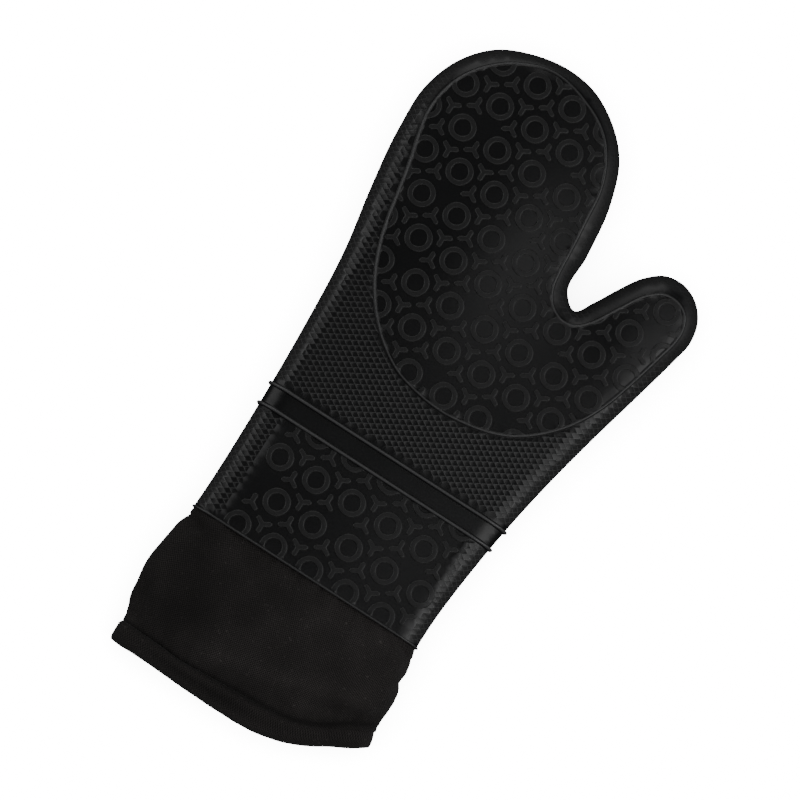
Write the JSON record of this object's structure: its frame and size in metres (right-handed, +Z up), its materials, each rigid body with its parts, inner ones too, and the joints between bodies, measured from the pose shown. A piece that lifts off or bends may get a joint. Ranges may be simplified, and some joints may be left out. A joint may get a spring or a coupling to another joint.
{
  "type": "heat resistant oven mitt",
  "caption": "Long oven mitt for one hand: a flexible studded silicone shell over a quilted cotton liner, with a woven cuff at the open end.",
  "frame": {"origin": "under the middle of the mitt's box, on the surface that the mitt lies on", "axes": "+Y from the open cuff to the fingertips, +X towards the thumb, +Z up out of the face that shows"},
  "size_m": [0.1909, 0.3825, 0.0304],
  "materials": {
    "silicone": "satin black moulded silicone, smooth studs on a finely hatched ground",
    "cuff_cotton": "matte near-black plain woven cotton",
    "lining_cotton": "matte black cotton lining",
    "wadding": "off-white needled wadding",
    "thread": "black sewing thread and seam allowance"
  },
  "bodies": {
    "hand": {"hand_shell": "silicone", "hand_palm_wadding": "wadding", "hand_back_wadding": "wadding", "hand_palm_lining": "lining_cotton", "hand_back_lining": "lining_cotton", "outer_side_seam": "thread", "thumb_side_seam": "thread", "cuff_join_seam": "cuff_cotton"},
    "fingers": {"knuckle_shell": "silicone", "knuckle_liner": "lining_cotton", "finger_shell": "silicone", "finger_palm_wadding": "wadding", "finger_back_wadding": "wadding", "finger_palm_lining": "lining_cotton", "finger_back_lining": "lining_cotton", "finger_seam": "thread"},
    "thumb": {"thumb_root_shell": "silicone", "thumb_root_liner": "lining_cotton", "thumb_shell": "silicone", "thumb_palm_wadding": "wadding", "thumb_back_wadding": "wadding", "thumb_palm_lining": "lining_cotton", "thumb_back_lining": "lining_cotton", "thumb_seam": "thread"},
    "cuff": {"cuff_fold_cloth": "cuff_cotton", "cuff_palm_panel": "cuff_cotton", "cuff_back_panel": "cuff_cotton", "cuff_palm_lining": "lining_cotton", "cuff_back_lining": "lining_cotton", "cuff_hem": "cuff_cotton", "hem_thread": "thread"}
  },
  "joints": [
    {"name": "fingers_fold", "type": "hinge", "parent": "hand", "child": "fingers", "pos_m": [-0.034, 0.0957, 0.013], "axis": [1, 0, 0], "range_deg": [-60, 60], "stiffness_Nm_per_rad": 0.15, "deforming": ["knuckle_shell", "knuckle_liner"]},
    {"name": "thumb_fold", "type": "hinge", "parent": "hand", "child": "thumb", "pos_m": [0.06295, 0.06218, 0.013], "axis": [0.4648, -0.8854, 0], "range_deg": [-60, 60], "stiffness_Nm_per_rad": 0.05, "deforming": ["thumb_root_shell", "thumb_root_liner"]},
    {"name": "cuff_fold", "type": "hinge", "parent": "hand", "child": "cuff", "pos_m": [-0.0075, -0.11845, 0.01267], "axis": [-1, 0, 0], "range_deg": [-60, 60], "deforming": ["cuff_fold_cloth"]}
  ]
}
